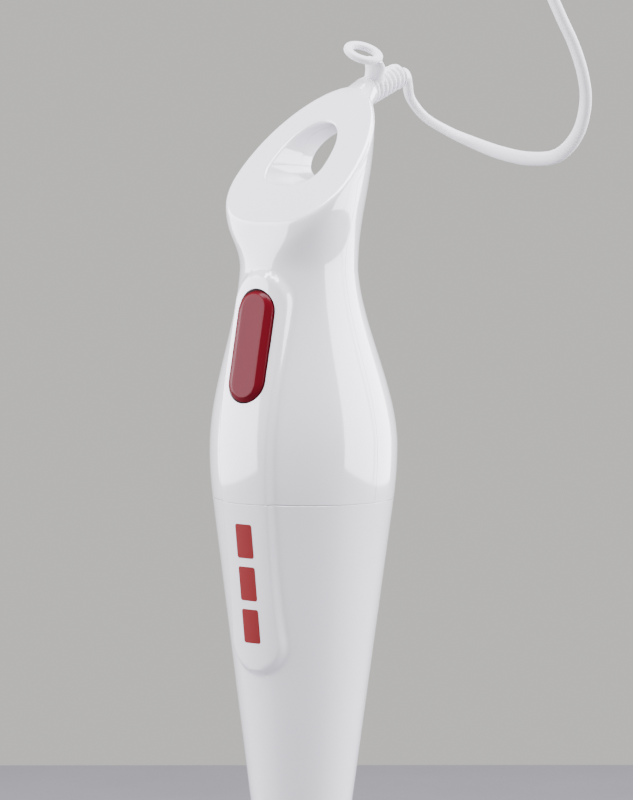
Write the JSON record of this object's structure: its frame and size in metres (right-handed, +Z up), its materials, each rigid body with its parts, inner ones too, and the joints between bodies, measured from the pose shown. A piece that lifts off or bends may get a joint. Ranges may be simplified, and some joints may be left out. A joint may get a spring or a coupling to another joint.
{
  "type": "immersion blender",
  "caption": "Slender corded immersion blender with a slanted, pierced head, a long push button on a raised pad, a hanging eye and a twist-off blending foot.",
  "frame": {"origin": "centre of the circle that the foot's rim stands on", "axes": "+Z up along the body's axis, -Y towards the side with the button, +X to the user's right"},
  "size_m": [0.1459, 0.1401, 0.4278],
  "materials": {
    "white_plastic": "glossy moulded",
    "red_plastic": "glossy moulded",
    "white_rubber": "soft moulded, satin",
    "white_cord": "smooth PVC, satin",
    "dark_plastic": "matte moulded",
    "grey_plastic": "matte glass-filled",
    "seal_rubber": "matte",
    "steel": "brushed",
    "blade_steel": "ground and polished edges",
    "lamination_steel": "stacked sheet",
    "copper": "wound wire and segments",
    "bronze": "sintered",
    "brass": "polished",
    "carbon": "pressed carbon",
    "board": "coated board"
  },
  "bodies": {
    "housing": {"front_shell": "white_plastic", "rear_shell": "white_plastic", "motor_housing": "white_plastic", "shell_screw": "steel", "coupling_nose": "grey_plastic", "nose_bush": "bronze", "circuit_board": "board", "rectifier": "dark_plastic", "capacitor": "grey_plastic", "microswitch": "dark_plastic", "button_spring": "steel", "inner_lead": "white_cord", "motor_can": "lamination_steel", "motor_lower_bracket": "grey_plastic", "motor_end_cap": "grey_plastic", "mount_ring": "seal_rubber", "brush_left": "carbon", "brush_right": "carbon", "upper_bearing": "bronze", "lower_bearing": "bronze", "stator_screw_left": "steel", "stator_screw_right": "steel", "strain_relief": "white_rubber", "power_cord": "white_cord", "cord_coil": "white_cord", "cord_tie": "dark_plastic", "plug_body": "white_cord", "plug_pin_left": "brass", "plug_pin_right": "brass"},
    "button": {"button_cap": "red_plastic", "switch_plunger": "dark_plastic"},
    "rotor": {"motor_shaft": "steel", "armature": "copper", "commutator": "copper", "cooling_fan": "dark_plastic", "drive_dog": "dark_plastic"},
    "lock_seal": {"foot_gasket": "seal_rubber"},
    "foot": {"blending_foot": "white_plastic", "foot_bush_upper": "bronze", "foot_bush_lower": "bronze", "shaft_seal": "seal_rubber"},
    "blade_unit": {"blade_shaft": "steel", "driven_coupling": "dark_plastic", "blade": "blade_steel", "blade_nut": "steel"}
  },
  "joints": [
    {"name": "button_press", "type": "slide", "parent": "housing", "child": "button", "axis": [0, 0.9799, -0.1994], "range_m": [0, 0.002], "stiffness_N_per_m": 1500, "springref_m": -0.001, "deforming": ["button_spring"]},
    {"name": "motor_spin", "type": "hinge", "parent": "housing", "child": "rotor", "pos_m": [0, 0, 0.2], "axis": [0, 0, 1], "continuous": true},
    {"name": "foot_pull", "type": "slide", "parent": "housing", "child": "lock_seal", "axis": [0, 0, -1], "range_m": [0, 0.04]},
    {"name": "foot_twist", "type": "hinge", "parent": "lock_seal", "child": "foot", "pos_m": [0, 0, 0.1], "axis": [0, 0, 1], "range_deg": [0, 35]},
    {"name": "blade_spin", "type": "hinge", "parent": "foot", "child": "blade_unit", "pos_m": [0, 0, 0.05], "axis": [0, 0, 1], "continuous": true}
  ],
  "couplings": [
    {"joint": "blade_spin", "follows": "motor_spin", "ratio": 1}
  ]
}
